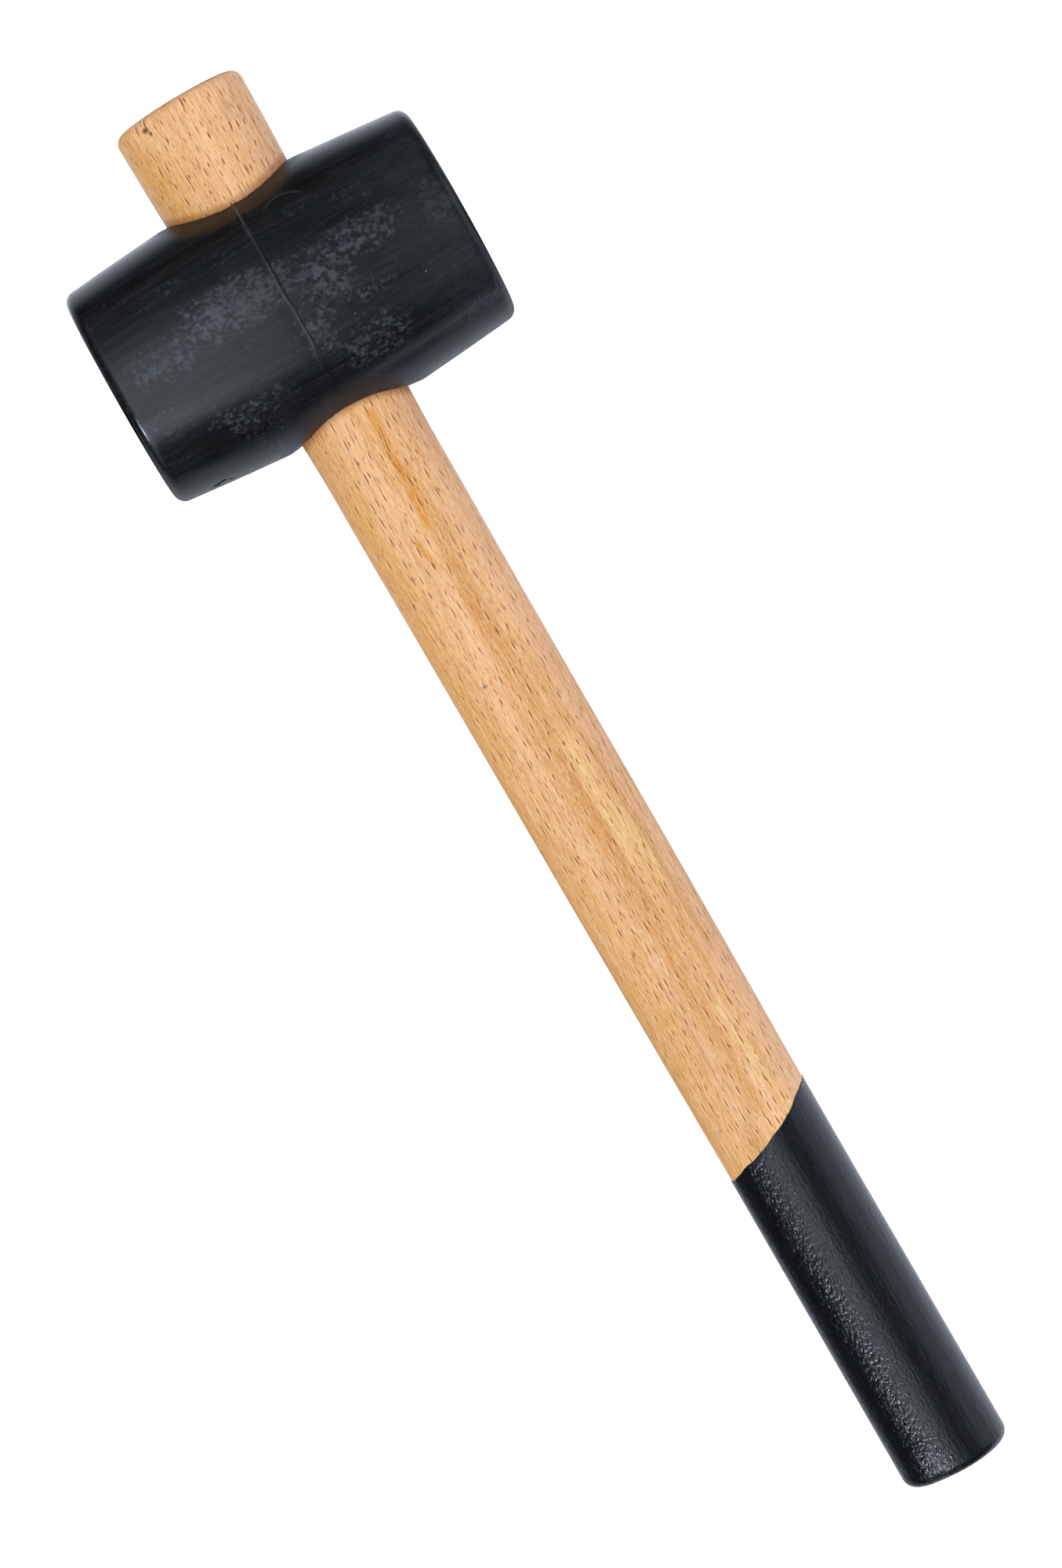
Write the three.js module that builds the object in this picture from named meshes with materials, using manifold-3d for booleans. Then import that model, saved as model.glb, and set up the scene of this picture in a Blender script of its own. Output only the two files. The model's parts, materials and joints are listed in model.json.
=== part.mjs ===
// Rubber mallet: a moulded barrel of hard black rubber, driven onto a tapered beech handle
// whose grip end is dipped in black lacquer. It is built lying on a bench, as it rests:
// the head's belly and the edge of the butt touch z = 0.
//
// Two frames are used. The tool frame has its origin at the head's centre, +X along the
// head's axis, +Y along the handle towards its top end and +Z up. The outer group leans
// that frame until the butt touches the bench, and centres it over the origin.
// All lengths are in millimetres.

import * as THREE from "three";
import { mergeVertices } from "three/addons/utils/BufferGeometryUtils.js";
import Module from "manifold-3d";

// ---------------------------------------------------------------- driving dimensions

// Rubber head
const HEAD_LENGTH = 90; // striking face to striking face
const WAIST_DIAMETER = 61.1; // widest, at the mould's parting line
const WAIST_LAND = 6; // width of the even band round the waist, which the head rests on
const FACE_DIAMETER = 54.5; // where barrel and face would meet without the rounded edge
const BARREL_POWER = 1.3; // how the barrel narrows: 1 is a cone, 2 a parabola
const FACE_EDGE_RADIUS = 3.2;
const EYE_FLARE_WIDTH = 2.6; // the eye's lower mouth is dished by its core pin
const EYE_FLARE_DEPTH = 0.9;
const EYE_TOP_FLARE_WIDTH = 1.2; // its upper mouth only has its edge broken
const EYE_TOP_FLARE_DEPTH = 0.4;

// Beech handle, along the tool frame's Y
const TOP_REACH = 53.4; // from the head's centre to the handle's top end
const BUTT_REACH = 311.5; // from the head's centre to the butt
const TOP_DIAMETER = 33.1;
const ABOVE_HEAD_DIAMETER = 32.1;
const BELOW_HEAD_DIAMETER = 28.0;
const NECK_DIAMETER = 27.4;
const GRIP_DIAMETER = 26.5;
const BUTT_DIAMETER = 26.85;
const SEAT_REACH = 31; // half the length of the steep taper that the head is driven onto
const NECK_REACH = 62; // where the taper has eased into the long shaft
const GRIP_REACH = 215;
const TOP_EDGE_RADIUS = 2.7;
const BUTT_EDGE_RADIUS = 3.1;

// Black lacquer on the grip. The real film is about 0.15 mm thick. It is drawn as a wall
// that can be a closed solid, let into the wood, so that only the film's thickness shows.
const DIP_REACH = 220.8; // from the head's centre to the dip line, on the handle's axis
const DIP_SLOPE_X = 0.476; // the handle was dipped at a slant, so the line climbs with x
const DIP_SLOPE_Z = -0.04;
const FILM_PROUD = 0.15;
const FILM_WALL = 0.6;

// Clearance between solids that touch on the real mallet
const FIT_GAP = 0.3;

// Roundness of the meshes
const HEAD_SEGMENTS = 64;
const HANDLE_SEGMENTS = 48;
const BARREL_STEPS = 6; // per half
const HANDLE_STEPS = 14;
const EDGE_STEPS = 3; // per rounded edge
const EYE_STEPS = 6; // along the eye's taper
const CURVE_POINTS = 240; // along the curve that the handle's radius is read from
const MERGE_DISTANCE = 1e-4; // vertices nearer than this are one
const CUTTER_OVERRUN = 6; // how far the eye's cutter reaches past the head

const COLOURS = { rubber: 0x25282c, beech: 0xdcae78, lacquer: 0x141517 };

// ---------------------------------------------------------------- solids and booleans

const wasm = await Module();
wasm.setup();

// A closed three.js geometry as a manifold-3d solid.
function solidOf(geometry) {
  const bare = geometry.clone();
  bare.deleteAttribute("normal");
  bare.deleteAttribute("uv");
  const merged = mergeVertices(bare, MERGE_DISTANCE);
  return new wasm.Manifold(
    new wasm.Mesh({
      numProp: 3,
      vertProperties: merged.attributes.position.array,
      triVerts: new Uint32Array(merged.index.array),
    }),
  );
}

// A manifold-3d solid as a three.js geometry.
function geometryOf(solid) {
  const mesh = solid.getMesh();
  const geometry = new THREE.BufferGeometry();
  geometry.setAttribute("position", new THREE.BufferAttribute(mesh.vertProperties, mesh.numProp));
  geometry.setIndex(new THREE.BufferAttribute(mesh.triVerts, 1));
  geometry.computeVertexNormals();
  return geometry;
}

// Points of a quarter circle from one angle to another, both in degrees.
function arc(centreX, centreY, radius, fromDeg, toDeg, steps = EDGE_STEPS) {
  return Array.from({ length: steps + 1 }, (_, i) => {
    const angle = THREE.MathUtils.degToRad(fromDeg + ((toDeg - fromDeg) * i) / steps);
    return new THREE.Vector2(centreX + radius * Math.cos(angle), centreY + radius * Math.sin(angle));
  });
}

// A solid of revolution about Y. The profile runs upwards and starts and ends on the axis.
function turned(profile, segments) {
  return solidOf(new THREE.LatheGeometry(profile, segments));
}

// ---------------------------------------------------------------- handle

const handleCurve = new THREE.SplineCurve([
  new THREE.Vector2(BUTT_DIAMETER / 2, -BUTT_REACH),
  new THREE.Vector2(GRIP_DIAMETER / 2, -GRIP_REACH),
  new THREE.Vector2(NECK_DIAMETER / 2, -NECK_REACH),
  new THREE.Vector2(BELOW_HEAD_DIAMETER / 2, -SEAT_REACH),
  new THREE.Vector2(ABOVE_HEAD_DIAMETER / 2, SEAT_REACH),
  new THREE.Vector2(TOP_DIAMETER / 2, TOP_REACH),
]);

// The handle's radius at a height y, read from the curve.
const handleStations = handleCurve.getPoints(CURVE_POINTS);
function handleRadius(y) {
  const above = handleStations.findIndex((p) => p.y >= y);
  if (above < 0) return TOP_DIAMETER / 2;
  if (above === 0) return BUTT_DIAMETER / 2;
  const [a, b] = [handleStations[above - 1], handleStations[above]];
  return THREE.MathUtils.mapLinear(y, a.y, b.y, a.x, b.x);
}

// The handle's profile between two heights, each radius changed by the same amount.
function handleSide(fromY, toY, grow = 0, steps = HANDLE_STEPS) {
  return Array.from({ length: steps + 1 }, (_, i) => {
    const y = THREE.MathUtils.lerp(fromY, toY, i / steps);
    return new THREE.Vector2(handleRadius(y) + grow, y);
  });
}

// The whole handle, or the same shape grown or shrunk by an even amount.
function handleShape(grow = 0) {
  const buttRadius = handleRadius(-BUTT_REACH) + grow;
  const topRadius = handleRadius(TOP_REACH) + grow;
  const buttEdge = BUTT_EDGE_RADIUS + grow;
  const topEdge = TOP_EDGE_RADIUS + grow;
  const buttY = -BUTT_REACH - grow;
  const topY = TOP_REACH + grow;
  return turned(
    [
      new THREE.Vector2(0, buttY),
      ...arc(buttRadius - buttEdge, buttY + buttEdge, buttEdge, -90, 0),
      ...handleSide(buttY + buttEdge, topY - topEdge, grow).slice(1, -1),
      ...arc(topRadius - topEdge, topY - topEdge, topEdge, 0, 90),
      new THREE.Vector2(0, topY),
    ],
    HANDLE_SEGMENTS,
  );
}

// Everything on the butt's side of the slanting dip line, moved along the handle by `shift`.
function belowDipLine(shift = 0) {
  const size = 2 * BUTT_REACH;
  const block = new THREE.BoxGeometry(size, size, size).translate(0, -size / 2, 0);
  const normal = new THREE.Vector3(-DIP_SLOPE_X, 1, -DIP_SLOPE_Z).normalize();
  const turn = new THREE.Quaternion().setFromUnitVectors(new THREE.Vector3(0, 1, 0), normal);
  block.applyQuaternion(turn).translate(0, -DIP_REACH + shift, 0);
  return solidOf(block);
}

const film = { outside: handleShape(FILM_PROUD), inside: handleShape(FILM_PROUD - FILM_WALL) };

function handleSolid() {
  const core = handleShape(FILM_PROUD - FILM_WALL - FIT_GAP);
  const bare = handleShape().subtract(belowDipLine(FIT_GAP));
  return bare.add(core);
}

function gripFilmSolid() {
  return film.outside.subtract(film.inside).intersect(belowDipLine());
}

// ---------------------------------------------------------------- rubber head

function barrelRadius(x) {
  const beyondLand = Math.max(Math.abs(x) - WAIST_LAND / 2, 0) / ((HEAD_LENGTH - WAIST_LAND) / 2);
  const narrowing = (WAIST_DIAMETER - FACE_DIAMETER) / 2;
  return WAIST_DIAMETER / 2 - narrowing * Math.pow(beyondLand, BARREL_POWER);
}

// Half of the barrel's profile, from the striking face's centre to the edge of the land.
function barrelHalf() {
  const face = HEAD_LENGTH / 2;
  const edgeStart = face - FACE_EDGE_RADIUS;
  const edgeCentre = barrelRadius(edgeStart) - FACE_EDGE_RADIUS;
  const side = Array.from({ length: BARREL_STEPS }, (_, i) => {
    const x = THREE.MathUtils.lerp(edgeStart, WAIST_LAND / 2, (i + 1) / BARREL_STEPS);
    return new THREE.Vector2(barrelRadius(x), -x);
  });
  return [
    new THREE.Vector2(0, -face),
    ...arc(edgeCentre, -edgeStart, FACE_EDGE_RADIUS, -90, 0),
    ...side,
  ];
}

function barrelShape() {
  const half = barrelHalf();
  const otherHalf = half.map((p) => new THREE.Vector2(p.x, -p.y)).reverse();
  return solidOf(new THREE.LatheGeometry([...half, ...otherHalf], HEAD_SEGMENTS).rotateZ(-Math.PI / 2));
}

// The eye: the handle's taper plus the clearance, with a flared mouth at each end. A mouth's
// cone meets the barrel on the two sides that face the striking faces, where it is highest.
function eyeShape() {
  const past = WAIST_DIAMETER / 2 + CUTTER_OVERRUN;
  const lowerEdge = -barrelRadius(BELOW_HEAD_DIAMETER / 2 + EYE_FLARE_WIDTH);
  const upperEdge = barrelRadius(ABOVE_HEAD_DIAMETER / 2 + EYE_TOP_FLARE_WIDTH);
  const lowerFoot = lowerEdge + EYE_FLARE_DEPTH;
  const upperFoot = upperEdge - EYE_TOP_FLARE_DEPTH;
  const lowerRadius = handleRadius(lowerEdge) + EYE_FLARE_WIDTH;
  const upperRadius = handleRadius(upperEdge) + EYE_TOP_FLARE_WIDTH;
  return turned(
    [
      new THREE.Vector2(0, -past),
      new THREE.Vector2(lowerRadius, -past),
      new THREE.Vector2(lowerRadius, lowerEdge),
      ...handleSide(lowerFoot, upperFoot, FIT_GAP, EYE_STEPS),
      new THREE.Vector2(upperRadius, upperEdge),
      new THREE.Vector2(upperRadius, past),
      new THREE.Vector2(0, past),
    ],
    HANDLE_SEGMENTS,
  );
}

// ---------------------------------------------------------------- assembly

function piece(name, solid, colour, roughness) {
  const material = new THREE.MeshStandardMaterial({ color: colour, roughness, metalness: 0 });
  const mesh = new THREE.Mesh(geometryOf(solid), material);
  mesh.name = name;
  return mesh;
}

const tool = new THREE.Group();
tool.add(
  piece("rubber_head", barrelShape().subtract(eyeShape()), COLOURS.rubber, 0.5),
  piece("beech_handle", handleSolid(), COLOURS.beech, 0.45),
  piece("grip_lacquer", gripFilmSolid(), COLOURS.lacquer, 0.25),
);

// The lean at which the butt's rounded edge comes down to the bench, with the belly on it.
const headCentreHeight = WAIST_DIAMETER / 2;
const buttEdge = BUTT_EDGE_RADIUS + FILM_PROUD;
const edgeAlong = BUTT_REACH + FILM_PROUD - buttEdge;
const edgeOut = BUTT_DIAMETER / 2 + FILM_PROUD - buttEdge;
const lean =
  Math.asin((headCentreHeight - buttEdge) / Math.hypot(edgeAlong, edgeOut)) -
  Math.atan2(edgeOut, edgeAlong);
tool.rotation.x = lean;
tool.position.z = headCentreHeight;

const mallet = new THREE.Group();
mallet.add(tool);
const box = new THREE.Box3().setFromObject(mallet, true);
tool.position.y -= (box.min.y + box.max.y) / 2;
tool.position.z -= box.min.z;

export default mallet;
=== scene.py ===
"""A rubber mallet lying at rest on a pale floor, seen from straight above.

The head, the handle and the lacquer on its grip are modelled again here at full detail, in
the places that the frame gives. They are drawn in the tool frame: origin at the head's
centre, X along the head's axis, Y along the handle towards its top end. Lengths are in
millimetres until a mesh is made. A name ending in _m is in metres.
"""

import json
import math

import bmesh
import bpy
import numpy as np
from mathutils import Matrix, Vector


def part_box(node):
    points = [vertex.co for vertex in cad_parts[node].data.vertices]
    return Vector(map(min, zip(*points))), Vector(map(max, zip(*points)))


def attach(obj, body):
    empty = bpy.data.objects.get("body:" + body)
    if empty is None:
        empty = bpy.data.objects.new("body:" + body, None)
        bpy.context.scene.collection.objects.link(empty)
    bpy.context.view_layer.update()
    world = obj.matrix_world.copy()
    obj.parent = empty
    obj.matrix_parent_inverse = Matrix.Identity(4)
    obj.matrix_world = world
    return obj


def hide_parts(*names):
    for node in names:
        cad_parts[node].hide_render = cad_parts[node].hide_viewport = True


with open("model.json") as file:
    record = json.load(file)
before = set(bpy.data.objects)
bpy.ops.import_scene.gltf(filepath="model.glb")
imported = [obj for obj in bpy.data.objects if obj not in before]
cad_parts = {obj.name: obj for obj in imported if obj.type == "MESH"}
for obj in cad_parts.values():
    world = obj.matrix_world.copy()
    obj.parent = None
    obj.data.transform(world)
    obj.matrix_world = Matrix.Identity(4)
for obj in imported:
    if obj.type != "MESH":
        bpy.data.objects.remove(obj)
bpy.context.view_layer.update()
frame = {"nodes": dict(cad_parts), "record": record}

MM = 0.001

# ---------------------------------------------------------------- sizes, from the frame

mounts = {m["name"]: Vector(m["pos_m"]) for m in frame["record"]["mounts"]}
head_centre_m = (mounts["striking_face_left"] + mounts["striking_face_right"]) / 2
handle_axis = (mounts["top_end"] - mounts["butt_end"]).normalized()
across_axis = Vector((1, 0, 0))

tool_frame = Matrix((across_axis, handle_axis, across_axis.cross(handle_axis))).transposed().to_4x4()
tool_frame.translation = head_centre_m


def span(node, axis):
    """A CAD node's extent along a row axis, in millimetres."""
    low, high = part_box(node)
    return (high[axis] - low[axis]) / MM


HEAD_LENGTH = span("rubber_head", 0)
WAIST_RADIUS = head_centre_m.z / MM
TOP_REACH = (mounts["top_end"] - head_centre_m).length / MM
BUTT_REACH = (mounts["butt_end"] - head_centre_m).length / MM
TOP_RADIUS = span("beech_handle", 0) / 2
GRIP_END_RADIUS = span("grip_lacquer", 0) / 2

# ---------------------------------------------------------------- sizes that only the shape needs

WAIST_LAND = 6  # width of the even band round the head's waist
FACE_RADIUS = 27.25  # where barrel and face would meet without the rounded edge
FACE_EDGE_RADIUS = 2.5
BARREL_POWER = 1.3  # how the barrel narrows: 1 is a cone, 2 a parabola
HEAD_SKEW = math.radians(-0.57)  # the head sits a little out of square on the handle
HEAD_SHIFT = (-0.2, -0.13, 0)  # and a little off centre
SKIN_WAVE = 0.06  # height of the moulded skin's slow waves
SKIN_WAVELENGTH = (95, 17, 17)  # along X, Y and Z
SKIN_INSET = 0.05  # keeps the waves from standing out past the CAD solid
FLASH_WAVES = [(0.16, 3.1, 0.5), (0.08, 1.3, 0)]  # how the mould's joint wanders: size, length, phase
FLASH_STEP = 0.045  # how far one half of the mould stands higher than the other
NICK_CENTRE = (-33.5, -27.5, 6.0)  # in the head's own frame, before its skew and shift
NICK_RADII = (2.6, 1.0, 1.0)
NICK_EDGE_RADIUS = 0.2

EYE_GAP = 0.04  # between the rubber and the wood
EYE_EDGE_RADIUS = 0.45
LOWER_FLARE = (2.6, 0.9)  # width and depth of the dish round the eye's lower mouth
UPPER_FLARE = (1.2, 0.4)
FLARE_OVERRUN = 1.5  # a dish goes on widening past the head's skin, to this many times its width

TOP_EDGE_RADIUS = 2.4
BUTT_EDGE_RADIUS = 2.8
TOP_END_SLOPE = 0.018  # the top end is cut a little out of square
TOP_END_LENGTH = 6  # how far below the rounded edge the slope fades out
TURNING_WAVE = 0.05  # height of the slow waves that turning and sanding left
TURNING_WAVELENGTH = (14, 90, 14)  # along X, Y and Z
SIDE_RADIUS = 10  # from here outwards the waves are at their full height
WEAR_LENGTH = 10  # the butt is rubbed down a little on one side
WEAR_DEPTH = 0.8
WEAR_BEARING = math.radians(114)  # round the handle, from +X towards +Z
WEAR_SPREAD = 0.5  # half the worn side's width, in radians

FILM = 0.15  # thickness of the lacquer
FILM_GAP = 0.02  # between the lacquer's inner wall and the wood
FILM_LIP = [(0.25, FILM), (0.12, 0.12), (0.03, 0.07)]  # distance below the dip line, thickness there
DIP_REACH = 220.8  # from the head's centre to the dip line, on the handle's axis
DIP_SLOPE_X = 0.476  # the handle was dipped at a slant, so the line climbs with x
DIP_SLOPE_Z = -0.04
DIP_WAVES = [(0.35, 3, 0.6), (0.12, 8, 1.9), (0.07, 17, 0.4)]  # height, count round the handle, phase

HANDLE_STATIONS = [  # (distance along Y, radius), from the butt to the top end
    (-BUTT_REACH + FILM, GRIP_END_RADIUS - FILM),
    (-240, 13.25),
    (-190, 13.42),
    (-62, 13.78),
    (-31, 14.0),
    (31, 16.05),
    (TOP_REACH, TOP_RADIUS),
]

# ---------------------------------------------------------------- how finely the meshes are cut

HEAD_VOXEL = 0.68  # how far apart the head's vertices are, before the cuts and the refining
FLASH_CUTS = (-0.9, -0.6, -0.35, -0.15, 0, 0.15, 0.35, 0.6, 0.9)  # where planes cross the mould's joint
MOUTH_REACHES = (1.8, 1.0)  # the mesh is halved this near to the rims of the eye's mouths
HANDLE_SEGMENTS = 160
HANDLE_RINGS = 300
FILM_SEGMENTS = 192
FILM_RINGS = 150
FILM_CROWDING = 0.9  # below 1, the film's rings crowd towards the dip line
EDGE_RINGS = 10  # on each rounded edge
END_RINGS = 12  # from the centre of each flat end

# ---------------------------------------------------------------- shapes as functions


def catmull_rom(points, steps=240):
    """Points on a smooth curve through the given ones."""
    points = np.array(points, float)
    padded = np.vstack([2 * points[0] - points[1], points, 2 * points[-1] - points[-2]])
    curve = []
    for i in range(len(points) - 1):
        a, b, c, d = padded[i : i + 4]
        t = np.linspace(0, 1, steps // (len(points) - 1))[:, None]
        square = 2 * a - 5 * b + 4 * c - d
        cube = 3 * b - a - 3 * c + d
        curve.append(0.5 * ((2 * b) + (c - a) * t + square * t**2 + cube * t**3))
    return np.vstack(curve)


handle_curve = catmull_rom(HANDLE_STATIONS)


def handle_radius(y):
    """The wood's radius at a place along the handle."""
    return np.interp(y, handle_curve[:, 0], handle_curve[:, 1])


def dip_line(angle):
    """Where the lacquer ends, at an angle round the handle from +X towards +Z."""
    x = GRIP_END_RADIUS * np.cos(angle)
    z = GRIP_END_RADIUS * np.sin(angle)
    plane = -DIP_REACH + DIP_SLOPE_X * x + DIP_SLOPE_Z * z
    return plane + sum(height * np.sin(count * angle + phase) for height, count, phase in DIP_WAVES)


def barrel_radius(x):
    """The head's radius at a place along its axis."""
    beyond = np.maximum(np.abs(x) - WAIST_LAND / 2, 0) / ((HEAD_LENGTH - WAIST_LAND) / 2)
    return WAIST_RADIUS - (WAIST_RADIUS - FACE_RADIUS) * beyond**BARREL_POWER


def eye_radius(y):
    """The hole for the handle, with its dished mouths."""
    lower_width, lower_depth = LOWER_FLARE
    upper_width, upper_depth = UPPER_FLARE
    lower_mouth = -barrel_radius(handle_radius(-WAIST_RADIUS) + lower_width)
    upper_mouth = barrel_radius(handle_radius(WAIST_RADIUS) + upper_width)
    lower = np.clip((lower_mouth + lower_depth - y) / lower_depth, 0, FLARE_OVERRUN) * lower_width
    upper = np.clip((y - upper_mouth + upper_depth) / upper_depth, 0, FLARE_OVERRUN) * upper_width
    return handle_radius(y) + EYE_GAP + lower + upper


def eye_distance(points):
    """Distance from the hole's wall, above 0 outside the hole."""
    y = points[:, 1]
    step = 0.02
    slope = (eye_radius(y + step) - eye_radius(y - step)) / (2 * step)
    return (np.hypot(points[:, 0], points[:, 2]) - eye_radius(y)) / np.hypot(1, slope)


def ripples(points, wavelength, seed):
    """A smooth random field between about -1 and 1. wavelength may differ along X, Y and Z."""
    waves = 12
    random = np.random.default_rng(seed)
    direction = random.normal(size=(waves, 3))
    direction /= np.linalg.norm(direction, axis=1)[:, None]
    frequency = 2 * math.pi * direction / np.array(wavelength, float)
    phase = random.uniform(0, 2 * math.pi, waves)
    return np.sin(points @ frequency.T + phase).sum(1) / math.sqrt(waves)


def rounded_overlap(a, b, radius):
    """Signed distance to what two solids share, with the edge between them rounded."""
    a, b = a + radius, b + radius
    beyond = np.hypot(np.maximum(a, 0), np.maximum(b, 0))
    return np.minimum(np.maximum(a, b), 0) + beyond - radius


def bell(value, middle, width):
    """A smooth hump, 1 at the middle and gone a few widths away."""
    return np.exp(-(((value - middle) / width) ** 2))


def flash_height(x, y):
    """What the mould's joint leaves round the waist: a thin line, broad near the eye's mouths.

    It stands higher on the half towards the handle's top end, and the mould's two halves
    don't quite meet, which leaves a step that fades out to both sides.
    """
    near_mouth = 1 / (1 + np.exp((13.5 - np.abs(y)) / 1.2))
    for size, length, phase in FLASH_WAVES:
        x = x + size * np.sin(y / length + phase)
    thin = np.where(y > 0, 0.1, 0.05) * bell(x, 0, 0.24)
    broad = np.where(y > 0, 0.24, 0.07) * (bell(x, -0.3, 0.32) + 0.8 * bell(x, 0.6, 0.24))
    step = FLASH_STEP / (1 + np.exp(-x / 0.2)) * np.exp(-np.abs(x) / 6)
    return thin * (1 - near_mouth) + broad * near_mouth + step


def head_distance(points):
    """Signed distance to the rubber head's surface."""
    turn = np.array(Matrix.Rotation(HEAD_SKEW, 3, "Z"))
    own = (points - HEAD_SHIFT) @ turn
    x, y, z = own.T
    skin = np.hypot(y, z) - barrel_radius(x) - flash_height(x, y)
    skin += SKIN_WAVE * ripples(own, SKIN_WAVELENGTH, seed=4) + SKIN_INSET
    face = np.abs(x) - HEAD_LENGTH / 2
    body = rounded_overlap(skin, face, FACE_EDGE_RADIUS)
    nick = np.linalg.norm((own - NICK_CENTRE) / NICK_RADII, axis=1) - 1
    body = rounded_overlap(body, -nick, NICK_EDGE_RADIUS)
    return rounded_overlap(body, -eye_distance(points), EYE_EDGE_RADIUS)


def onto_surface(points, distance, rounds):
    """Moves points along the field's slope until they lie on its zero surface."""
    reach = 0.02
    least_slope = 0.25  # squared, so that a point where the field is flat isn't thrown far away
    for _ in range(rounds):
        value = distance(points)
        slope = np.stack(
            [
                (distance(points + step) - distance(points - step)) / (2 * reach)
                for step in np.eye(3) * reach
            ],
            axis=1,
        )
        points = points - slope * (value / np.maximum((slope**2).sum(1), least_slope))[:, None]
    return points


# ---------------------------------------------------------------- meshes


def add_piece(name, mesh, material, node):
    """A finished mesh, in tool-frame millimetres, as the piece that stands for a CAD node."""
    mesh.transform(tool_frame @ Matrix.Scale(MM, 4))
    mesh.polygons.foreach_set("use_smooth", [True] * len(mesh.polygons))
    mesh.materials.clear()
    mesh.materials.append(material)
    piece = bpy.data.objects.new(name, mesh)
    bpy.context.scene.collection.objects.link(piece)
    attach(piece, "root")
    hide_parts(node)


def skin_rings(name, rings):
    """A closed mesh from rings of points. The first and last rings shrink to points."""
    count, around = rings.shape[:2]
    first, last = rings[0].mean(0), rings[-1].mean(0)
    points = np.vstack([first, rings[1:-1].reshape(-1, 3), last])
    start = 1 + np.arange(count - 2)[:, None] * around + np.arange(around)
    turned = np.roll(start, -1, axis=1)
    quads = np.stack([start[:-1], turned[:-1], turned[1:], start[1:]], axis=-1).reshape(-1, 4)
    low_fan = [(0, int(b), int(a)) for a, b in zip(start[0], turned[0])]
    high_fan = [(len(points) - 1, int(a), int(b)) for a, b in zip(start[-1], turned[-1])]
    mesh = bpy.data.meshes.new(name)
    mesh.from_pydata(points.tolist(), [], quads.tolist() + low_fan + high_fan)
    bm = bmesh.new()
    bm.from_mesh(mesh)
    bmesh.ops.recalc_face_normals(bm, faces=bm.faces)
    bm.to_mesh(mesh)
    bm.free()
    return mesh


def end_rings(radius, y, edge, outward, around):
    """Rings of a flat end with a rounded edge, from the side to the centre."""
    turn = np.linspace(0, math.pi / 2, EDGE_RINGS)
    rounding = [
        (radius - edge + edge * cosine, y - outward * edge * (1 - sine))
        for sine, cosine in zip(np.sin(turn), np.cos(turn))
    ]
    flat = [(r, y) for r in np.linspace(radius - edge, 0, END_RINGS)[1:]]
    return np.array(
        [[(r * math.cos(a), height, r * math.sin(a)) for a in around] for r, height in rounding + flat]
    )


def side_rings(heights, grow, around):
    """Rings up the handle. heights holds each ring's Y at each angle, and grow widens them."""
    radius = handle_radius(heights) + grow
    return np.stack([radius * np.cos(around), heights, radius * np.sin(around)], axis=-1)


def worn_by_use(rings):
    """The rings, swollen and shrunk a little as a turned surface is, and rubbed down at the butt."""
    flat = rings.reshape(-1, 3)
    radius = np.hypot(flat[:, 0], flat[:, 2])
    on_side = np.clip(radius / SIDE_RADIUS, 0, 1)
    change = TURNING_WAVE * ripples(flat, TURNING_WAVELENGTH, seed=11) * on_side
    facing = np.arctan2(flat[:, 2], flat[:, 0]) - WEAR_BEARING
    near_butt = np.clip((-BUTT_REACH + WEAR_LENGTH - flat[:, 1]) / WEAR_LENGTH, 0, 1)
    change -= WEAR_DEPTH * (near_butt**2 * bell(facing, 0, WEAR_SPREAD)) * on_side
    scale = 1 + change / np.maximum(radius, 1)
    return (flat * np.stack([scale, np.ones_like(scale), scale], axis=1)).reshape(rings.shape)


def handle_mesh():
    """The wood, turned in one piece, from the butt inside the lacquer to the top end."""
    around = np.linspace(0, 2 * math.pi, HANDLE_SEGMENTS, endpoint=False)
    butt, top = -BUTT_REACH + FILM, TOP_REACH
    low = butt + BUTT_EDGE_RADIUS
    high = top - TOP_EDGE_RADIUS
    heights = np.linspace(low, high, HANDLE_RINGS)[:, None] * np.ones_like(around)
    low_radius, high_radius = float(handle_radius(low)), float(handle_radius(high))
    rings = np.concatenate(
        [
            end_rings(low_radius, butt, BUTT_EDGE_RADIUS, -1, around)[::-1],
            side_rings(heights, 0, around)[1:-1],
            end_rings(high_radius, top, TOP_EDGE_RADIUS, 1, around),
        ]
    )
    near_top = np.clip((rings[..., 1] - high + TOP_END_LENGTH) / TOP_END_LENGTH, 0, 1)
    rings[..., 1] += TOP_END_SLOPE * rings[..., 0] * near_top
    return skin_rings("beech_handle_turned", worn_by_use(rings))


def film_mesh():
    """The lacquer: a thin skin over the butt, its edge drawn down to nothing at the dip line."""
    around = np.linspace(0, 2 * math.pi, FILM_SEGMENTS, endpoint=False)
    line = dip_line(around)
    butt = -BUTT_REACH
    low = butt + BUTT_EDGE_RADIUS + FILM

    def wall(grow, edge, back):
        """The butt's end and the side up to back below the line, standing grow above the wood."""
        low_radius = float(handle_radius(low)) + grow
        heights = low + (line - low) * np.linspace(0, 1, FILM_RINGS)[:, None] ** FILM_CROWDING
        heights[-1] = line - back
        rings = side_rings(heights, grow, around)
        end = end_rings(low_radius, butt + FILM - grow, edge, -1, around)
        return np.concatenate([end[::-1], rings[1:]])

    (outer_back, outer_grow), *lip_profile = FILM_LIP
    inner = wall(FILM_GAP, BUTT_EDGE_RADIUS, 0)
    outer = wall(outer_grow, BUTT_EDGE_RADIUS + outer_grow, outer_back)
    lip_heights = np.stack([line - back for back, _ in lip_profile])
    lip = side_rings(lip_heights, np.array([[grow] for _, grow in lip_profile]), around)
    rings = np.concatenate([inner, lip[::-1], outer[::-1]])
    return skin_rings("grip_lacquer_film", worn_by_use(rings))


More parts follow.
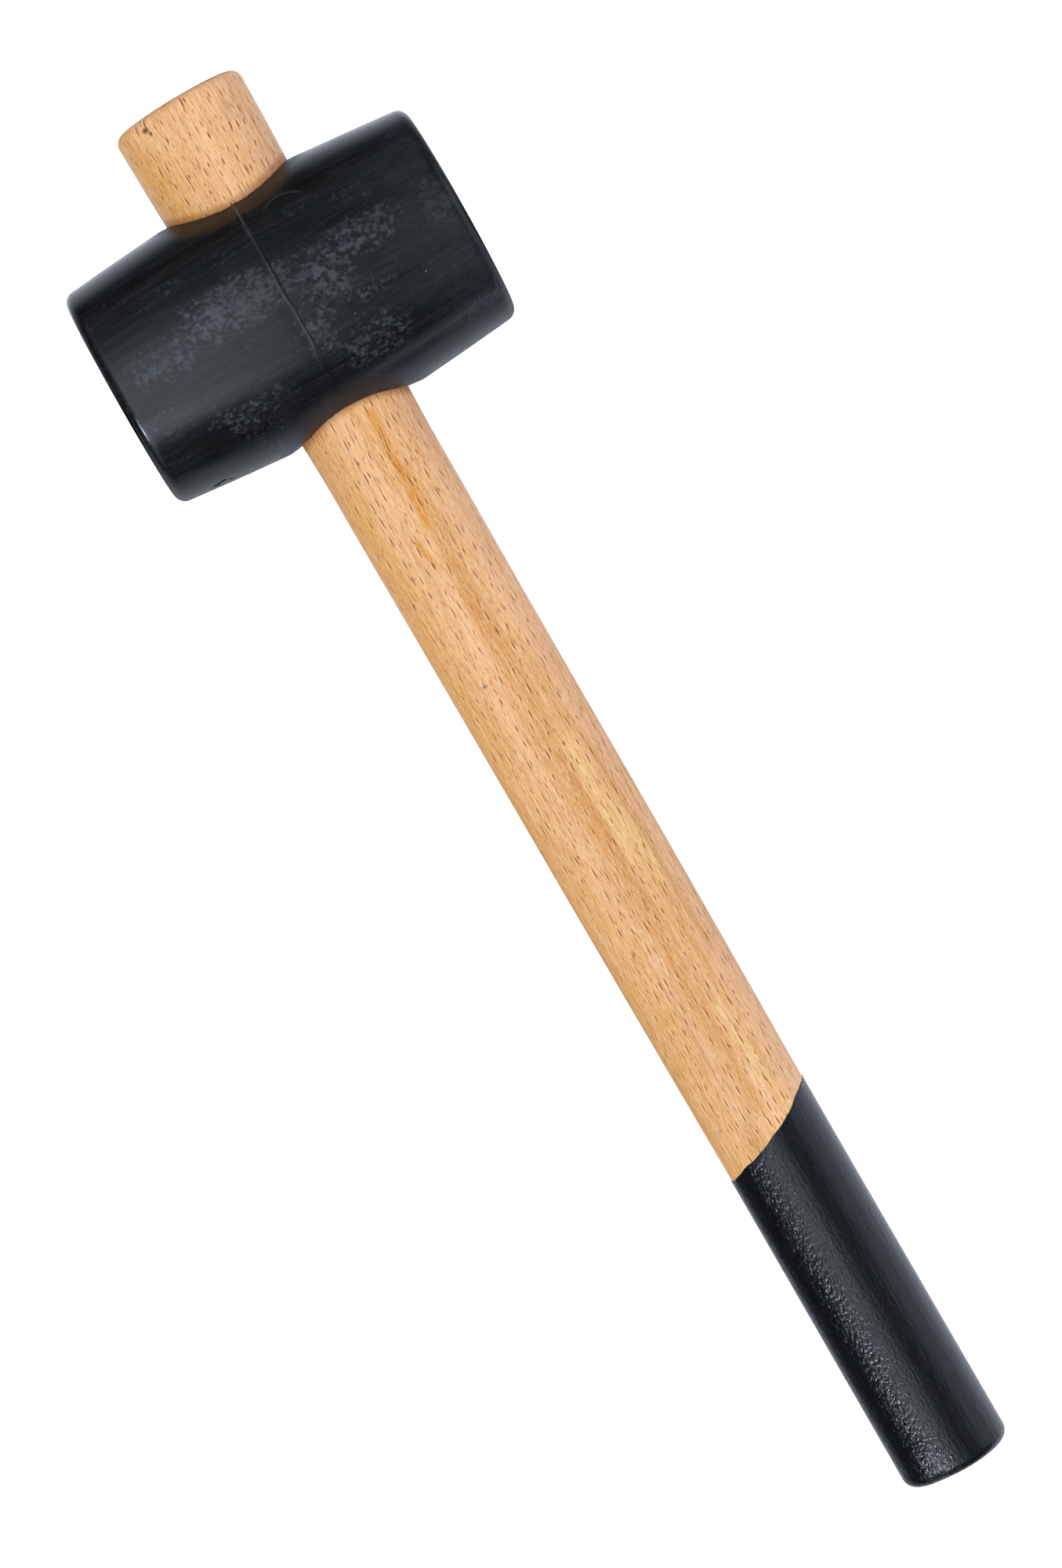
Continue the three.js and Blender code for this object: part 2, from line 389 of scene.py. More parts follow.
def draw_onto(bm, distance, rounds):
    """Moves a mesh's vertices onto the zero surface of a distance field."""
    points = onto_surface(np.array([v.co for v in bm.verts]), distance, rounds)
    for vertex, point in zip(bm.verts, points):
        vertex.co = point


def refine_mouths(bm, reach):
    """Halves the edges that lie within a distance of the rims of the eye's two mouths."""
    points = np.array([v.co for v in bm.verts])
    outside = np.hypot(points[:, 1], points[:, 2]) - barrel_radius(points[:, 0])
    near = np.hypot(outside, eye_distance(points)) < reach
    bm.verts.ensure_lookup_table()
    chosen = [e for e in bm.edges if near[e.verts[0].index] and near[e.verts[1].index]]
    bmesh.ops.subdivide_edges(bm, edges=chosen, cuts=1, use_grid_fill=True)
    bm.verts.index_update()


def head_mesh():
    """The rubber head: the CAD solid's surface, meshed evenly and drawn onto the true shape."""
    rough = frame["nodes"]["rubber_head"].data.copy()
    rough.transform(Matrix.Scale(1 / MM, 4) @ tool_frame.inverted())
    scratch = bpy.data.objects.new("head_rough", rough)
    bpy.context.scene.collection.objects.link(scratch)
    remesh = scratch.modifiers.new("even", "REMESH")
    remesh.mode = "VOXEL"
    remesh.voxel_size = HEAD_VOXEL
    depsgraph = bpy.context.evaluated_depsgraph_get()
    mesh = bpy.data.meshes.new_from_object(scratch.evaluated_get(depsgraph))
    bpy.data.objects.remove(scratch)
    bpy.data.meshes.remove(rough)

    bm = bmesh.new()
    bm.from_mesh(mesh)
    own_axis = Matrix.Rotation(HEAD_SKEW, 3, "Z") @ Vector((1, 0, 0))
    for x in FLASH_CUTS:
        everything = bm.verts[:] + bm.edges[:] + bm.faces[:]
        bmesh.ops.bisect_plane(bm, geom=everything, plane_co=own_axis * x, plane_no=own_axis, dist=0.03)
    draw_onto(bm, head_distance, rounds=7)
    for reach in MOUTH_REACHES:
        refine_mouths(bm, reach)
        draw_onto(bm, head_distance, rounds=4)
    bm.to_mesh(mesh)
    bm.free()
    mesh.name = "rubber_head_moulded"
    return mesh


# ---------------------------------------------------------------- materials


def clear_tree(owner):
    """An empty node tree for a material or a world."""
    owner.use_nodes = True
    owner.node_tree.nodes.clear()
    return owner.node_tree


def add_node(tree, kind, inputs=(), **settings):
    """Adds a node. inputs maps a socket's name or number to a value or to another socket."""
    node = tree.nodes.new("ShaderNode" + kind)
    for key, value in settings.items():
        setattr(node, key, value)
    for key, value in dict(inputs).items():
        if isinstance(value, bpy.types.NodeSocket):
            tree.links.new(value, node.inputs[key])
        else:
            node.inputs[key].default_value = value
    return node


class Nodes:
    """A node tree, written as expressions."""

    def __init__(self, owner):
        self.tree = clear_tree(owner)

    def add(self, kind, inputs=(), **settings):
        return add_node(self.tree, kind, inputs, **settings)

    def maths(self, operation, *values):
        return self.add("Math", enumerate(values), operation=operation).outputs[0]

    def times(self, *values):
        result = values[0]
        for value in values[1:]:
            result = self.maths("MULTIPLY", result, value)
        return result

    def plus(self, *values):
        result = values[0]
        for value in values[1:]:
            result = self.maths("ADD", result, value)
        return result

    def vector(self, operation, *values):
        node = self.add("VectorMath", enumerate(values), operation=operation)
        return node.outputs["Value" if operation == "LENGTH" else "Vector"]

    def rise(self, value, low, high, to=(0.0, 1.0)):
        """A smooth step from to[0] at low to to[1] at high. low may be the larger."""
        inputs = {"Value": value, 1: low, 2: high, 3: to[0], 4: to[1]}
        return self.add("MapRange", inputs, interpolation_type="SMOOTHSTEP").outputs[0]


GIRTH_RADIUS = 14.5  # where marks round the handle are drawn at their true size
COOL_SHEEN = (0.76, 0.87, 1.0, 1)  # the tint of what the black surfaces mirror


class Shader(Nodes):
    """A material. Its coordinates are tool-frame millimetres."""

    def __init__(self, name):
        self.material = bpy.data.materials.new(name)
        super().__init__(self.material)
        place = {
            "Vector": self.add("TexCoord").outputs["Object"],
            "Location": tool_frame.translation,
            "Rotation": tool_frame.to_euler(),
            "Scale": (MM, MM, MM),
        }
        self.mm = self.add("Mapping", place, vector_type="TEXTURE").outputs[0]
        self.x, self.y, self.z = self.add("SeparateXYZ", {0: self.mm}).outputs

    def stretched(self, sizes, source=None):
        """Coordinates in which a feature of the given sizes in millimetres measures 1."""
        return self.vector("DIVIDE", source or self.mm, sizes)

    def noise(self, sizes, detail=2.0, roughness=0.5, source=None, offset=0.0):
        """Cloudy values round 0.5, whose blots have the given sizes in millimetres."""
        place = self.vector("ADD", self.stretched(sizes, source), (offset, offset, offset))
        inputs = {"Vector": place, "Scale": 1.0, "Detail": detail, "Roughness": roughness}
        return self.add("TexNoise", inputs).outputs[0]

    def blend(self, amount, a, b):
        """Colour a, turned into colour b by amount."""
        return self.add("Mix", {0: amount, 6: a, 7: b}, data_type="RGBA").outputs[2]

    def ramp(self, value, stops):
        """A colour for each value, from (value, colour) stops."""
        node = self.add("ValToRGB", {0: value})
        elements = node.color_ramp.elements
        elements[0].position, elements[0].color = stops[0]
        elements[1].position, elements[1].color = stops[-1]
        for position, colour in stops[1:-1]:
            elements.new(position).color = colour
        return node.outputs[0]

    def flecks(self, pitch, half_size, seed=0.0, tilt=0.12):
        """Scattered spindle-shaped marks along the handle, and a painted highlight next to each: a light
        line.

        pitch is their mean spacing and half_size half their width and length.
        """
        girth = self.times(self.maths("ARCTAN2", self.x, self.z), GIRTH_RADIUS)
        flat = self.add("CombineXYZ", {0: girth, 1: self.y}).outputs[0]
        place = self.stretched((*pitch, 1), self.vector("ADD", flat, (seed, seed, 0)))
        cells = self.add("TexVoronoi", {"Vector": place, "Scale": 1.0}, voronoi_dimensions="2D")
        offset = self.vector("SUBTRACT", place, cells.outputs["Position"])
        offset = self.vector("MULTIPLY", offset, (*pitch, 1))
        across, along, _ = self.add("SeparateXYZ", {0: offset}).outputs
        variety = self.add("SeparateColor", {0: cells.outputs["Color"]}).outputs
        lean = self.times(self.maths("SUBTRACT", variety[2], 0.5), tilt)
        across = self.maths("DIVIDE", self.plus(across, self.times(along, lean)), half_size[0])
        length = self.times(self.rise(variety[0], 0, 1, (0.5, 1.35)), half_size[1])
        along = self.maths("DIVIDE", along, length)
        strength = self.rise(variety[1], 0, 1, (0.3, 1.0))
        masks = []
        # the second mask, shifted sideways, is the painted highlight next to each mark
        for shift in (0, 1.7):
            shifted = self.maths("ABSOLUTE", self.plus(across, shift))
            reach = self.plus(shifted, self.times(along, along))
            masks.append(self.times(self.rise(reach, 1.0, 0.4), strength))
        return masks

    def specks(self, pitch, radius, seed=0.0):
        """Scattered round dots on any surface."""
        place = self.vector("ADD", self.stretched((pitch, pitch, pitch)), (seed, seed, seed))
        cells = self.add("TexVoronoi", {"Vector": place, "Scale": 1.0}).outputs
        variety = self.add("SeparateColor", {0: cells["Color"]}).outputs
        edge = self.times(self.rise(variety[0], 0, 1, (0.5, 1.5)), radius / pitch)
        return self.times(self.rise(self.maths("DIVIDE", cells["Distance"], edge), 1.0, 0.5), variety[1])

    def streak(self, points, width, wobble=None):
        """A soft-edged line along the tool's top side through (x, y) points, from +Y to -Y."""
        fade = 1.5  # half the length over which a part of the line starts or ends
        total = None
        x = self.plus(self.x, wobble) if wobble else self.x
        for (x0, y0), (x1, y1) in zip(points, points[1:]):
            inputs = {"Value": self.y, 1: y0, 2: y1, 3: x0, 4: x1}
            middle = self.add("MapRange", inputs).outputs[0]
            away = self.maths("ABSOLUTE", self.maths("SUBTRACT", x, middle))
            part = self.rise(away, width, width * 0.25)
            started = self.rise(self.y, y0 + fade, y0 - fade)
            not_ended = self.rise(self.y, y1 - fade, y1 + fade)
            part = self.times(part, self.times(started, not_ended))
            total = part if total is None else self.maths("MAXIMUM", total, part)
        return self.times(total, self.rise(self.z, 0, 3))

    def spot(self, centre, radii):
        """A soft round mark on the tool's top side."""
        away = self.vector("DIVIDE", self.vector("SUBTRACT", self.mm, (*centre, 0)), (*radii, 1000))
        return self.times(self.rise(self.vector("LENGTH", away), 1.0, 0.3), self.rise(self.z, 0, 3))

    def bump(self, height, depth_mm):
        """A normal for a height field. height runs from 0 to 1 over depth_mm."""
        inputs = {"Height": height, "Distance": depth_mm * MM, "Strength": 1.0}
        return self.add("Bump", inputs).outputs[0]

    def finish(self, colour, roughness, normal, **constants):
        """The finished material. constants are other settings of its surface."""
        inputs = {"Base Color": colour, "Roughness": roughness, "Normal": normal}
        surface = self.add("BsdfPrincipled", inputs)
        for key, value in constants.items():
            surface.inputs[key.replace("_", " ")].default_value = value
        self.tree.nodes.active = self.add("OutputMaterial", {"Surface": surface.outputs[0]})
        return self.material


def rgb(red, green, blue):
    """An 8-bit screen colour as a linear one."""

    def linear(value):
        value /= 255
        return value / 12.92 if value <= 0.04045 else ((value + 0.055) / 1.055) ** 2.4

    return (linear(red), linear(green), linear(blue), 1.0)


def beech_ground(s, bent):
    """The wood's broad figure, golden to the left, with a painted rim light that makes the right side lighter
    and rosier.
    """
    broad = s.noise((7, 170, 9), detail=3, roughness=0.55, source=bent, offset=3.7)
    colour = s.ramp(
        broad,
        [
            (0.30, rgb(206, 147, 92)),
            (0.43, rgb(225, 169, 111)),
            (0.52, rgb(234, 181, 128)),
            (0.62, rgb(239, 190, 142)),
            (0.75, rgb(246, 203, 160)),
        ],
    )
    patchy = s.rise(s.noise((9, 40, 9), detail=2, offset=1.3), 0.3, 0.5)
    golden = s.times(s.rise(s.x, -4, -11), patchy)
    colour = s.blend(s.times(golden, 0.75), colour, rgb(224, 166, 88))
    # painted rim light: the right side made lighter and rosier
    rosy_rim_light = s.rise(s.x, 5, 12)
    return s.blend(s.times(rosy_rim_light, 0.6), colour, rgb(242, 196, 162))


def beech_bands(s, colour, bent, sway):
    """Bands along the top side: a dark one, a pale one, and creamy ones with dark edges."""
    dark = s.streak([(3.0, -45), (3.2, -90), (1.5, -130), (0.5, -215)], 3.2, wobble=sway)
    colour = s.blend(s.times(dark, 0.7), colour, rgb(212, 154, 92))
    broken = s.noise((1.1, 11, 1.5), detail=3, roughness=0.6, source=bent, offset=7.7)
    broken = s.rise(broken, 0.38, 0.62)
    pale_line = [(1.5, -50), (-2.2, -85), (-4.2, -120), (-3.0, -170), (-3.6, -216)]
    pale = s.times(s.streak(pale_line, 2.6, wobble=sway), s.rise(broken, 0, 1, (0.35, 0.8)), 0.6)
    colour = s.blend(pale, colour, rgb(253, 210, 166))
    cream = s.streak([(4.4, -116), (5.6, -134), (8.4, -157)], 4.2, wobble=sway)
    lower_cream = s.streak([(4.6, -188), (6.0, -204), (7.2, -220)], 1.9, wobble=sway)
    cream = s.times(s.maths("MAXIMUM", cream, lower_cream), s.rise(broken, 0, 1, (0.4, 1.0)))
    colour = s.blend(s.times(cream, 0.8), colour, rgb(243, 208, 144))
    left_edge = s.streak([(1.6, -120), (2.4, -140), (4.6, -188)], 0.9, wobble=sway)
    right_edge = s.streak([(8.6, -120), (9.8, -140), (10.4, -178)], 0.9, wobble=sway)
    edges = s.maths("MAXIMUM", left_edge, right_edge)
    return s.blend(s.times(edges, 0.5), colour, rgb(196, 134, 74))


def beech_stains(s, colour):
    """An amber streak below the head, the resin in it, and smudges from handling."""
    amber = s.streak([(3.2, -30), (2.6, -41), (2.9, -49), (1.8, -60)], 1.7)
    smear = s.streak([(-2.7, -61), (-1.1, -69)], 1.1)
    colour = s.blend(s.times(s.maths("MAXIMUM", amber, smear), 0.9), colour, rgb(220, 150, 62))
    resin = s.streak([(2.7, -36), (2.0, -43), (2.7, -47)], 0.45)
    colour = s.blend(s.times(resin, 0.7), colour, rgb(140, 84, 34))
    grubby = s.rise(s.noise((0.45, 1.6, 0.45), detail=3, roughness=0.7), 0.45, 0.66)
    smudges = s.times(s.spot((2.0, -84), (1.5, 2.0)), 0.7)
    for centre, radii in (((11, 46), (3.4, 4.4)), ((-3.3, -45.3), (1.5, 1.5))):
        smudges = s.maths("MAXIMUM", smudges, s.spot(centre, radii))
    return s.blend(s.times(smudges, grubby, 0.65), colour, rgb(118, 82, 52))


def beech_fibres_and_sheen(s, colour, bent, dashes, ripple):
    """Fine lines along the grain, and a painted sheen on the fibres between them: light streaks, dashes and
    ripples.
    """
    fine = s.noise((0.6, 24, 0.8), detail=3, roughness=0.65, source=bent)
    colour = s.blend(s.rise(fine, 0.45, 0.7, (0.0, 0.5)), colour, rgb(196, 132, 70))
    # painted sheen: light streaks along the grain
    fibre_sheen = s.noise((1.3, 22, 1.5), detail=2, source=bent, offset=9.1)
    colour = s.blend(s.rise(fibre_sheen, 0.52, 0.8, (0.0, 0.4)), colour, rgb(245, 206, 160))
    # painted sheen on the light dashes; the dark dashes below are grain
    colour = s.blend(s.rise(dashes, 0.5, 0.72, (0.0, 0.45)), colour, rgb(255, 224, 178))
    colour = s.blend(s.rise(dashes, 0.5, 0.3, (0.0, 0.45)), colour, rgb(204, 138, 70))
    # painted sheen on the ripples
    return s.blend(s.rise(ripple, 0.5, 0.75, (0.0, 0.3)), colour, rgb(255, 226, 184))


def beech_marks_and_contact_shade(s, colour):
    """A knot near the top end, a small grey spot, and painted shade in a dark line where wood meets rubber.
    """
    for centre, radii in (((-9.0, 50.2), (1.15, 0.95)), ((-8.3, 49.0), (0.5, 0.9))):
        colour = s.blend(s.times(s.spot(centre, radii), 0.85), colour, rgb(88, 50, 28))
    colour = s.blend(s.times(s.spot((-5.4, -98.3), (0.9, 0.42)), 0.85), colour, rgb(104, 106, 114))
    # painted contact shade on the wood next to the rubber head
    from_head_axis = s.vector("LENGTH", s.vector("MULTIPLY", s.mm, (0, 1, 1)))
    joint = s.rise(from_head_axis, WAIST_RADIUS + 1.7, WAIST_RADIUS - 0.3)
    return s.blend(s.times(joint, 0.6), colour, rgb(150, 82, 34))


def beech_material():
    """Beech: its figure, bands, stains and fibres, and flecks in three sizes, with painted rim light, sheen,
    fleck highlights and contact shade.
    """
    s = Shader("beech")
    sway = s.times(s.maths("SUBTRACT", s.noise((14, 60, 14), detail=1), 0.5), 2.4)
    bent = s.add("CombineXYZ", {0: s.plus(s.x, sway), 1: s.y, 2: s.z}).outputs[0]
    dashes = s.noise((0.36, 3.6, 0.42), detail=3, roughness=0.65, source=bent)
    ripple = s.noise((0.3, 0.8, 0.3), detail=2, roughness=0.6, offset=3.0)

    colour = beech_ground(s, bent)
    colour = beech_bands(s, colour, bent, sway)
    colour = beech_stains(s, colour)
    colour = beech_fibres_and_sheen(s, colour, bent, dashes, ripple)

    dense = s.rise(s.noise((12, 26, 12), detail=1, offset=6.0), 0.35, 0.65, (0.4, 1.0))
    minor, _ = s.flecks((1.0, 2.4), (0.11, 0.75), seed=40.0, tilt=0.2)
    colour = s.blend(s.times(minor, dense, 0.55), colour, rgb(172, 104, 38))
    middling, middling_highlight = s.flecks((1.7, 4.2), (0.18, 1.2), seed=17.0)
    major, major_highlight = s.flecks((2.3, 5.0), (0.24, 1.5), seed=3.0)
    # painted highlights: a light line next to each middling and major fleck
    fleck_highlights = s.maths("MAXIMUM", s.times(middling_highlight, 0.35), s.times(major_highlight, 0.6))
    colour = s.blend(fleck_highlights, colour, rgb(248, 212, 164))
    colour = s.blend(s.times(middling, 0.9), colour, rgb(164, 94, 28))
    colour = s.blend(major, colour, rgb(142, 74, 12))

    colour = beech_marks_and_contact_shade(s, colour)
    on_end = s.rise(s.y, TOP_REACH - 0.6, TOP_REACH - 0.2)
    colour = s.blend(on_end, colour, end_grain(s))

    marks = s.plus(s.times(major, -0.5), s.times(middling, -0.25))
    height = s.plus(s.times(ripple, 0.5), marks, s.times(dashes, 0.6))
    roughness = s.rise(ripple, 0.3, 0.7, (0.36, 0.5))
    return s.finish(
        colour, roughness, s.bump(height, 0.05), Coat_Weight=0.05, Coat_Roughness=0.28, Specular_IOR_Level=0.2
    )


def end_grain(s):
    """The look of the wood across the handle's top end: growth rings, and rays that cross them."""
    pith = (-9.0, 0.0, -34.0)  # where the tree's centre lay
    ring_width = 2.3
    outwards = s.vector("MULTIPLY", s.vector("SUBTRACT", s.mm, pith), (1, 0, 1))
    distance = s.vector("LENGTH", outwards)
    x, _, z = s.add("SeparateXYZ", {0: outwards}).outputs
    around = s.times(s.maths("ARCTAN2", x, z), 34.0)  # in millimetres, at the handle's axis
    wander = s.times(s.noise((6, 6, 6), detail=2), 1.6)
    year = s.maths("FRACT", s.maths("DIVIDE", s.plus(distance, wander), ring_width))
    early, late, last = rgb(212, 164, 108), rgb(198, 148, 94), rgb(172, 118, 70)
    colour = s.ramp(year, [(0.0, early), (0.75, late), (1.0, last)])
    polar = s.add("CombineXYZ", {0: around, 2: distance}).outputs[0]
    rays = s.noise((0.35, 1, 7.0), detail=2, source=polar)
    colour = s.blend(s.rise(rays, 0.52, 0.68, (0.0, 0.55)), colour, rgb(228, 186, 138))
    pores = s.noise((0.25, 0.25, 0.25), detail=1)
    return s.blend(s.rise(pores, 0.45, 0.75, (0.0, 0.4)), colour, rgb(150, 100, 60))


BLOOM_CLUSTERS = [  # (x, y), (half width, half height), strength
    ((-11, 5), (19, 8), 0.9),
    ((9, 1), (10, 9), 0.72),
    ((21, 5), (15, 6), 0.72),
    ((13, -17), (12, 7), 0.55),
    ((-31, 2), (13, 7), 0.6),
    ((40, 3), (6, 9), 0.55),
    ((3, -9), (8, 8), 0.55),
]


def rubber_bloom(s, on_top, clouds, dots, dusty):
    """How much grey bloom lies at each point: speckled patches, most of them on the top side."""
    cluster = s.noise((26, 15, 15), detail=2, roughness=0.6, offset=5.3)
    cluster = s.rise(cluster, 0.45, 0.75, (0.0, 0.42))
    for (x, y), (width, height), strength in BLOOM_CLUSTERS:
        offset = s.vector("SUBTRACT", s.mm, (x, y, 0))
        offset = s.vector("MULTIPLY", offset, (1 / width, 1 / height, 0))
        patch = s.times(s.rise(s.vector("LENGTH", offset), 1.2, 0.25), strength)
        cluster = s.maths("MAXIMUM", cluster, s.times(patch, on_top))
    speckle = s.plus(s.times(clouds, 0.45), s.times(dots, 0.55), s.times(cluster, 0.17))
    thinned = s.rise(dusty, 0.3, 0.65, (0.6, 1.0))
    return s.times(s.rise(speckle, 0.53, 0.75), s.rise(cluster, 0.05, 0.4), thinned)


def rubber_veils(s, colour, clouds, dusty):
    """A chalky veil at the right end, and faint streaks along the head."""
    streaks = s.noise((34, 1.3, 1.3), detail=3, roughness=0.6, offset=2.0)
    chalky = s.times(s.rise(s.x, 18, 42), s.rise(clouds, 0.3, 0.6, (0.55, 1.0)))
    colour = s.blend(s.times(chalky, 0.7), colour, rgb(36, 39, 44))
    veil = s.times(s.rise(streaks, 0.42, 0.7), s.rise(dusty, 0.35, 0.65), 0.4)
    return s.blend(veil, colour, rgb(56, 58, 62))


def rubber_marks_and_highlight(s, colour, on_top):
    """The mould's joint, a painted highlight along it near the upper mouth, a faint curved scratch, and dust.
    """
    from_joint = s.maths("ABSOLUTE", s.plus(s.x, s.times(s.y, math.sin(HEAD_SKEW))))
    # painted highlight: a light grey line along the joint's ridge near the upper mouth
    flash_highlight = s.streak([(-0.15, 26), (-0.3, 19), (0.1, 12)], 0.45)
    colour = s.blend(s.times(flash_highlight, 0.55), colour, rgb(76, 80, 86))
    joint = s.times(s.rise(from_joint, 0.55, 0.2), s.rise(s.y, 19, 15))
    colour = s.blend(s.times(joint, 0.85), colour, rgb(8, 10, 11))

    arc_centre, arc_radius = (9.4, 14.4, 0), 7.6
    outwards = s.vector("MULTIPLY", s.vector("SUBTRACT", s.mm, arc_centre), (1, 1, 0))
    from_arc = s.maths("ABSOLUTE", s.maths("SUBTRACT", s.vector("LENGTH", outwards), arc_radius))
    arc = s.times(s.rise(from_arc, 0.4, 0.12), s.rise(s.y, 19, 21.5), s.rise(s.x, 4, 7), on_top)
    colour = s.blend(s.times(arc, 0.3), colour, rgb(74, 82, 88))

    dust = s.specks(4.5, 0.14, seed=12.0)
    return s.blend(s.times(s.rise(dust, 0.4, 0.7), 0.9), colour, rgb(170, 176, 186))


def rubber_material():
    """Black moulded rubber with grey bloom. It is duller round the eye's mouths, and has a bluish painted
    reflection round the lower mouth.
    """
    s = Shader("rubber")
    on_top = s.rise(s.z, 8, 16)
    grime = s.noise((12, 9, 9), detail=4, roughness=0.6)
    clouds = s.noise((2.6, 2.2, 2.2), detail=3, roughness=0.55)
    dots = s.noise((1.15, 1.05, 1.05), detail=2, roughness=0.55)
    dusty = s.noise((0.45, 0.45, 0.45), detail=2, roughness=0.6)

    colour = s.blend(s.rise(grime, 0.35, 0.7), rgb(7, 9, 10), rgb(13, 15, 17))
    bloom = rubber_bloom(s, on_top, clouds, dots, dusty)
    tint = s.blend(s.rise(s.noise((9, 9, 9), detail=1), 0.42, 0.58), rgb(78, 81, 91), rgb(66, 76, 79))
    colour = s.blend(s.times(bloom, 0.85), colour, tint)
    colour = rubber_veils(s, colour, clouds, dusty)
    colour = rubber_marks_and_highlight(s, colour, on_top)

    from_handle_axis = s.vector("LENGTH", s.vector("MULTIPLY", s.mm, (1, 0, 1)))
    # painted reflection: a bluish sheen on the rubber round the eye's lower mouth
    lower_mouth = s.times(s.rise(from_handle_axis, 24, 17), s.rise(s.y, -14, -22))
    colour = s.blend(s.times(lower_mouth, 0.8), colour, rgb(18, 28, 40))
    dullness = s.plus(s.rise(s.y, -12, -20, (0.0, 0.14)), s.rise(s.y, 23, 28, (0.0, 0.2)))
    dull_mouths = s.times(s.rise(from_handle_axis, 22, 18.5), dullness)
    roughness = s.plus(s.rise(grime, 0.3, 0.7, (0.17, 0.25)), s.times(bloom, 0.16), dull_mouths)

    pores = s.noise((0.35, 0.35, 0.35), detail=2)
    normal = s.bump(s.plus(s.times(pores, 0.5), s.times(dots, 0.3)), 0.018)
    return s.finish(colour, roughness, normal, Specular_IOR_Level=0.4, Specular_Tint=COOL_SHEEN)


def lacquer_material():
    """Black gloss with a peel-like relief where it is thin, painted glints as light specks on that relief,
    and the grain of the wood showing through.
    """
    s = Shader("lacquer")
    grain = s.noise((0.38, 9.0, 0.38), detail=3, roughness=0.6)
    channels = s.noise((1.5, 30, 1.5), detail=2, roughness=0.5, offset=4.0)
    peel = s.noise((0.64, 1.1, 0.64), detail=1.5, roughness=0.55)
    colour = s.blend(s.rise(grain, 0.4, 0.7), rgb(5, 5, 6), rgb(12, 13, 15))
    # painted glints: light specks on the relief in the band where the lights reflect
    painted_glint_band = s.times(s.rise(s.x, 5, -1), s.rise(s.x, -11, -7))
    colour = s.blend(s.times(s.rise(peel, 0.52, 0.7), painted_glint_band, 0.5), colour, rgb(38, 41, 46))
    dashes = s.noise((0.5, 5.0, 0.5), detail=2, roughness=0.6, offset=2.2)
    colour = s.blend(s.times(s.rise(dashes, 0.52, 0.68), 0.5), colour, rgb(24, 26, 30))
    thin_side = s.rise(s.x, 4, -3, (0.2, 1.0))
    crackle = s.times(s.spot((-4.5, -BUTT_REACH + 4.5), (6.5, 9)), 0.8)
    relief = s.times(peel, s.plus(thin_side, crackle))
    height = s.plus(relief, s.times(grain, 0.36), s.times(dashes, 0.35), s.times(channels, 0.5))
    normal = s.bump(height, 0.19)
    roughness = s.rise(s.plus(s.times(peel, 0.6), s.times(grain, 0.4)), 0.35, 0.7, (0.1, 0.24))
    return s.finish(colour, roughness, normal, Specular_IOR_Level=0.5, Specular_Tint=COOL_SHEEN)


# ---------------------------------------------------------------- floor, light and camera


def make_floor():
    """A white table. The tool mirrors it as pools of light beside the head and the grip only."""
    size = 9.0
    mesh = bpy.data.meshes.new("floor")
    corners = [(-size, -size, 0), (size, -size, 0), (size, size, 0), (-size, size, 0)]
    mesh.from_pydata(corners, [], [(0, 1, 2, 3)])
    floor = bpy.data.objects.new("floor", mesh)
    bpy.context.scene.collection.objects.link(floor)
    material = bpy.data.materials.new("floor")
    n = Nodes(material)
    material.cycles.emission_sampling = "NONE"

    path = n.add("LightPath").outputs
    paper = n.add("BsdfDiffuse", {"Color": (0.82, 0.82, 0.82, 1)}).outputs[0]
    glow = n.add("Emission", {"Strength": n.maths("MULTIPLY", path["Is Camera Ray"], 0.8)}).outputs[0]
    lit = n.add("AddShader", {0: paper, 1: glow}).outputs[0]

    place = n.add("TexCoord").outputs["Object"]  # in metres
    x, y, _ = n.add("SeparateXYZ", {0: place}).outputs
    from_middle = n.maths("ABSOLUTE", x)
    below_head = n.times(n.rise(y, -0.08, 0.07, (0.08, 0.62)), n.rise(y, 0.08, 0.12, (1, 0)))
    above_head = n.times(n.rise(y, 0.17, 0.28, (1.05, 0.08)), n.rise(y, 0.12, 0.16))
    above_head = n.times(above_head, n.rise(from_middle, 0.05, 0.08, (1, 0.3)))
    along_grip = n.times(n.rise(y, -0.05, -0.09), n.rise(y, -0.26, -0.2))
    under_grip = n.rise(from_middle, 0.035, 0.015, (0, 0.7))
    beside_grip = n.plus(under_grip, n.rise(x, 0.012, 0.04, (0, 1.15)))
    brightness = n.plus(below_head, above_head, n.times(along_grip, beside_grip))
    cool_white = (0.88, 0.95, 1.06, 1)
    mirrored = n.add("Emission", {"Color": cool_white, "Strength": brightness}).outputs[0]
    surface = n.add("MixShader", {0: path["Is Glossy Ray"], 1: lit, 2: mirrored}).outputs[0]
    n.add("OutputMaterial", {"Surface": surface})
    mesh.materials.append(material)


# Brightness of the dome by how far a direction leans, from -1 to 1, as (lean, brightness) stops.
DOME_ACROSS = [(-1, 0.02), (-0.94, 0.05), (-0.8, 0.12), (-0.6, 0.3), (-0.32, 1.05), (-0.12, 0.6)]
DOME_ACROSS += [(0.02, 0.36), (0.3, 0.18), (0.55, 0.085), (0.75, 0.15), (0.9, 0.36), (1, 0.4)]
DOME_ALONG = [(-1, 0.22), (-0.95, 0.2), (-0.8, 0.75), (-0.3, 1.0), (0.2, 1.0)]
DOME_ALONG += [(0.42, 0.72), (0.7, 0.34), (0.85, 0.2), (1, 0.12)]
DOME_PATCHES = [  # centre, radii, change as a share of the brightness there
    ((-0.34, -0.68), (0.2, 0.2), 0.9),
    ((0.2, -0.5), (0.2, 0.12), -0.55),
    ((-0.2, -0.92), (0.25, 0.14), -0.6),
    ((0.25, 0.9), (0.3, 0.25), 2.0),
]
DOME_PEAK = 3.2
BACKDROP = 1.3  # the surroundings' brightness where the camera sees them directly


